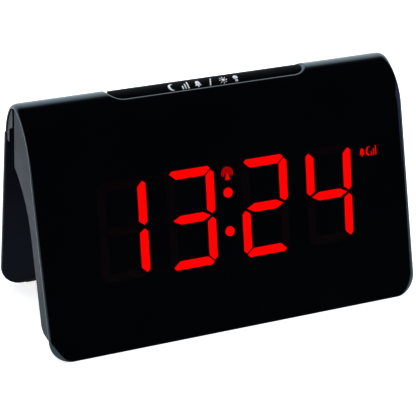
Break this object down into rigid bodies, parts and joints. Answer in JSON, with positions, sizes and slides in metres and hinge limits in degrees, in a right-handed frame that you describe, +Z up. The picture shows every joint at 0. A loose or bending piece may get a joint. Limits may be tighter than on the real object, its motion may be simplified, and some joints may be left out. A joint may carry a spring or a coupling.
{
  "type": "alarm clock",
  "caption": "Tent-shaped alarm clock with a glossy folded skin, a thin rear leg, a long snooze bar in the fold, a lit digit display and setting buttons behind.",
  "frame": {"origin": "middle of the footprint, on the surface the clock stands on", "axes": "+X to the right as the display is read, -Y towards the reader, +Z up"},
  "size_m": [0.143, 0.0576, 0.0806],
  "materials": {
    "skin_gloss": "polished black",
    "housing_plastic": "fine spark-eroded texture",
    "leg_plastic": "satin black",
    "bar_plastic": "matt black with white marks",
    "button_plastic": "satin black",
    "inner_plastic": "moulded black",
    "foot_rubber": "matt",
    "steel_screws": "zinc plated",
    "bright_steel": "drawn",
    "contact_brass": "stamped",
    "coil_copper": "enamelled copper wire",
    "aerial_ferrite": "sintered",
    "circuit_board": "solder mask",
    "reflector_white": "moulded white",
    "display_light": "red diffuser"
  },
  "bodies": {
    "case": {"front_skin": "skin_gloss", "rear_housing": "housing_plastic", "rear_leg": "leg_plastic", "leg_foot_left": "foot_rubber", "leg_foot_right": "foot_rubber", "leg_screw_1": "steel_screws", "leg_screw_2": "steel_screws", "leg_screw_3": "steel_screws", "leg_screw_4": "steel_screws", "case_screw_bottom_left": "steel_screws", "case_screw_bottom_right": "steel_screws", "case_screw_top_left": "steel_screws", "case_screw_top_right": "steel_screws", "snooze_guide": "inner_plastic", "snooze_board": "circuit_board", "snooze_switch_left": "inner_plastic", "snooze_switch_right": "inner_plastic", "digit_hour_tens": "display_light", "digit_hour_ones": "display_light", "digit_minute_tens": "display_light", "digit_minute_ones": "display_light", "colon_insert": "display_light", "indicator_insert": "display_light", "display_frame": "reflector_white", "display_board": "circuit_board", "main_board": "circuit_board", "controller_chip": "inner_plastic", "clock_crystal": "bright_steel", "mode_switch": "inner_plastic", "alarm_one_switch": "inner_plastic", "alarm_two_switch": "inner_plastic", "minus_switch": "inner_plastic", "plus_switch": "inner_plastic", "alarm_slide_switch": "bright_steel", "cell_rail_top": "inner_plastic", "cell_rail_bottom": "inner_plastic", "cell_contact_front": "contact_brass", "cell_contact_rear": "contact_brass", "power_inlet": "inner_plastic", "aerial_rod": "aerial_ferrite", "aerial_coil": "coil_copper", "aerial_clip_left": "inner_plastic", "aerial_clip_right": "inner_plastic", "sounder": "inner_plastic"},
    "snooze": {"snooze_bar": "bar_plastic"},
    "tray": {"cell_tray": "inner_plastic", "coin_cell": "bright_steel"},
    "slider": {"alarm_slider": "button_plastic"},
    "mode": {"mode_button": "button_plastic"},
    "alarm_one": {"alarm_one_button": "button_plastic"},
    "alarm_two": {"alarm_two_button": "button_plastic"},
    "minus": {"minus_button": "button_plastic"},
    "plus": {"plus_button": "button_plastic"}
  },
  "joints": [
    {"name": "snooze_press", "type": "slide", "parent": "case", "child": "snooze", "axis": [0, 0, -1], "range_m": [0, 0.0008], "stiffness_N_per_m": 1500},
    {"name": "mode_press", "type": "slide", "parent": "case", "child": "mode", "axis": [0, -0.9432, 0.3322], "range_m": [0, 0.0004], "stiffness_N_per_m": 1500},
    {"name": "alarm_one_press", "type": "slide", "parent": "case", "child": "alarm_one", "axis": [0, -0.9432, 0.3322], "range_m": [0, 0.0004], "stiffness_N_per_m": 1500},
    {"name": "alarm_two_press", "type": "slide", "parent": "case", "child": "alarm_two", "axis": [0, -0.9432, 0.3322], "range_m": [0, 0.0004], "stiffness_N_per_m": 1500},
    {"name": "minus_press", "type": "slide", "parent": "case", "child": "minus", "axis": [0, -0.9432, 0.3322], "range_m": [0, 0.0004], "stiffness_N_per_m": 1500},
    {"name": "plus_press", "type": "slide", "parent": "case", "child": "plus", "axis": [0, -0.9432, 0.3322], "range_m": [0, 0.0004], "stiffness_N_per_m": 1500},
    {"name": "alarm_slide", "type": "slide", "parent": "case", "child": "slider", "axis": [1, 0, 0], "range_m": [0, 0.004]},
    {"name": "tray_slide", "type": "slide", "parent": "case", "child": "tray", "axis": [1, 0, 0], "range_m": [0, 0.022]}
  ]
}
